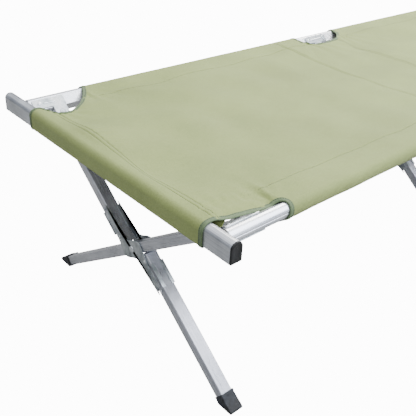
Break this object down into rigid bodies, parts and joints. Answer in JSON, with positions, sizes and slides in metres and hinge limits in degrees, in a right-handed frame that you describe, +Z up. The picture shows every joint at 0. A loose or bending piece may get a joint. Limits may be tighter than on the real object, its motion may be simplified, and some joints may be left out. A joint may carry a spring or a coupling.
{
  "type": "folding cot",
  "caption": "Folding cot: fabric cover on two hinged aluminium side rails, crossed legs that close like scissors, and end bars that pull off.",
  "frame": {"origin": "on the floor under the middle of the cot", "axes": "+X along the length, towards the foot end; +Y towards the far rail, the one that the split legs hold; +Z up"},
  "size_m": [1.9046, 0.664, 0.4223],
  "materials": {
    "fabric": "woven nylon canvas, matt",
    "aluminium": "mill-finished extrusion with fine lengthwise ribs",
    "plated_steel": "stamped and zinc plated, dulled",
    "black_plastic": "moulded, satin",
    "boot_rubber": "moulded, matt"
  },
  "bodies": {
    "root": {"cover": "fabric", "x_pivot_head": "plated_steel", "x_pivot_middle": "plated_steel", "x_pivot_foot": "plated_steel"},
    "near_side": {"near_rail_head": "aluminium", "near_rail_foot": "aluminium", "near_plug_head": "black_plastic", "near_plug_foot": "black_plastic", "near_hinge_pin": "plated_steel", "near_hinge_plate_inner": "plated_steel", "near_hinge_plate_outer": "plated_steel", "straight_leg_head": "aluminium", "straight_boot_head": "boot_rubber", "near_leg_pin_head": "plated_steel", "near_cheek_inner_head": "plated_steel", "near_cheek_outer_head": "plated_steel", "straight_leg_middle": "aluminium", "straight_boot_middle": "boot_rubber", "near_leg_pin_middle": "plated_steel", "straight_leg_foot": "aluminium", "straight_boot_foot": "boot_rubber", "near_leg_pin_foot": "plated_steel", "near_cheek_inner_foot": "plated_steel", "near_cheek_outer_foot": "plated_steel"},
    "far_side": {"far_rail_head": "aluminium", "far_rail_foot": "aluminium", "far_plug_head": "black_plastic", "far_plug_foot": "black_plastic", "far_hinge_pin": "plated_steel", "far_hinge_plate_inner": "plated_steel", "far_hinge_plate_outer": "plated_steel", "upper_leg_head": "aluminium", "lower_leg_head": "aluminium", "lower_boot_head": "boot_rubber", "x_plate_front_head": "plated_steel", "x_plate_back_head": "plated_steel", "far_leg_pin_head": "plated_steel", "far_cheek_inner_head": "plated_steel", "far_cheek_outer_head": "plated_steel", "upper_leg_middle": "aluminium", "lower_leg_middle": "aluminium", "lower_boot_middle": "boot_rubber", "x_plate_front_middle": "plated_steel", "x_plate_back_middle": "plated_steel", "far_leg_pin_middle": "plated_steel", "upper_leg_foot": "aluminium", "lower_leg_foot": "aluminium", "lower_boot_foot": "boot_rubber", "x_plate_front_foot": "plated_steel", "x_plate_back_foot": "plated_steel", "far_leg_pin_foot": "plated_steel", "far_cheek_inner_foot": "plated_steel", "far_cheek_outer_foot": "plated_steel"},
    "head_bar": {"head_bar": "aluminium", "head_bar_cap_near": "black_plastic", "head_bar_cap_far": "black_plastic"},
    "foot_bar": {"foot_bar": "aluminium", "foot_bar_cap_near": "black_plastic", "foot_bar_cap_far": "black_plastic"}
  },
  "joints": [
    {"name": "near_side_fold", "type": "hinge", "parent": "root", "child": "near_side", "pos_m": [0, 0, 0.196], "axis": [-1, 0, 0], "range_deg": [0, 51], "deforming": ["cover"]},
    {"name": "far_side_fold", "type": "hinge", "parent": "root", "child": "far_side", "pos_m": [0, 0, 0.196], "axis": [1, 0, 0], "range_deg": [0, 51]},
    {"name": "head_bar_slide", "type": "slide", "parent": "root", "child": "head_bar", "axis": [-1, 0, 0], "range_m": [0, 0.2]},
    {"name": "foot_bar_slide", "type": "slide", "parent": "root", "child": "foot_bar", "axis": [1, 0, 0], "range_m": [0, 0.2]}
  ],
  "couplings": [
    {"joint": "far_side_fold", "follows": "near_side_fold", "ratio": 1},
    {"joint": "head_bar_slide", "follows": "near_side_fold", "m_per_rad": 0.2245},
    {"joint": "foot_bar_slide", "follows": "near_side_fold", "m_per_rad": 0.2245}
  ]
}
